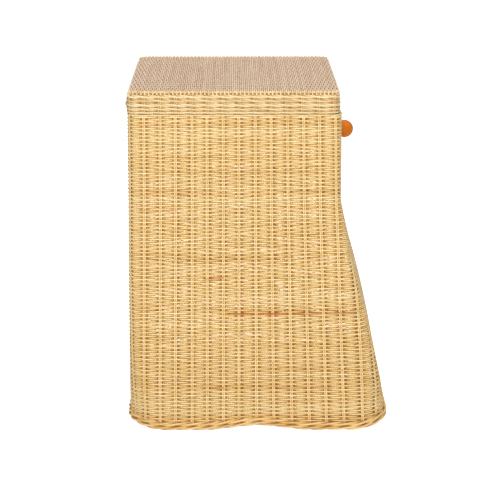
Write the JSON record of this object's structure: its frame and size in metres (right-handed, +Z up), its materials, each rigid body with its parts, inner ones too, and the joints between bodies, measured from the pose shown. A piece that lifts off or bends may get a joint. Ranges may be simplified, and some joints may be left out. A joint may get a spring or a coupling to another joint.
{
  "type": "laundry hamper",
  "caption": "Woven rattan laundry hamper with a straight back, a front that slopes outwards to the foot, a flat hinged lid and a round knob on the front.",
  "frame": {"origin": "on the floor, under the middle of the bounding box", "axes": "+Z up; +X towards the front, the sloping side with the knob; -X is the straight back with the hinge; Y across the width"},
  "size_m": [0.4653, 0.493, 0.6034],
  "materials": {
    "rattan_weave": "natural peeled rattan core, clear matt lacquer",
    "rattan_lid": "natural peeled rattan core, slightly greyed",
    "rattan_pole": "natural rattan pole",
    "cane_ring": "wrapped cane",
    "painted_wood": "matt orange stain",
    "zinc_steel": "zinc plated"
  },
  "bodies": {
    "body": {"body_weave": "rattan_weave", "foot_border": "rattan_weave", "base_weave": "rattan_weave", "base_hoop": "rattan_pole", "base_bar_1": "rattan_pole", "base_bar_2": "rattan_pole", "base_bar_3": "rattan_pole", "top_hoop": "rattan_pole", "post_front_left": "rattan_pole", "post_front_right": "rattan_pole", "post_back_left": "rattan_pole", "post_back_right": "rattan_pole", "hinge_ring_left": "cane_ring", "hinge_ring_right": "cane_ring", "knob_ball": "painted_wood", "knob_backing_disc": "rattan_pole", "knob_screw": "zinc_steel"},
    "lid": {"lid_weave": "rattan_lid", "lid_rim_weave": "rattan_weave", "lid_hoop": "rattan_pole", "lid_bar_1": "rattan_pole", "lid_bar_2": "rattan_pole", "lid_bar_3": "rattan_pole"}
  },
  "joints": [
    {"name": "lid_hinge", "type": "hinge", "parent": "body", "child": "lid", "pos_m": [-0.22675, 0, 0.563], "axis": [0, -1, 0], "range_deg": [0, 105]}
  ]
}
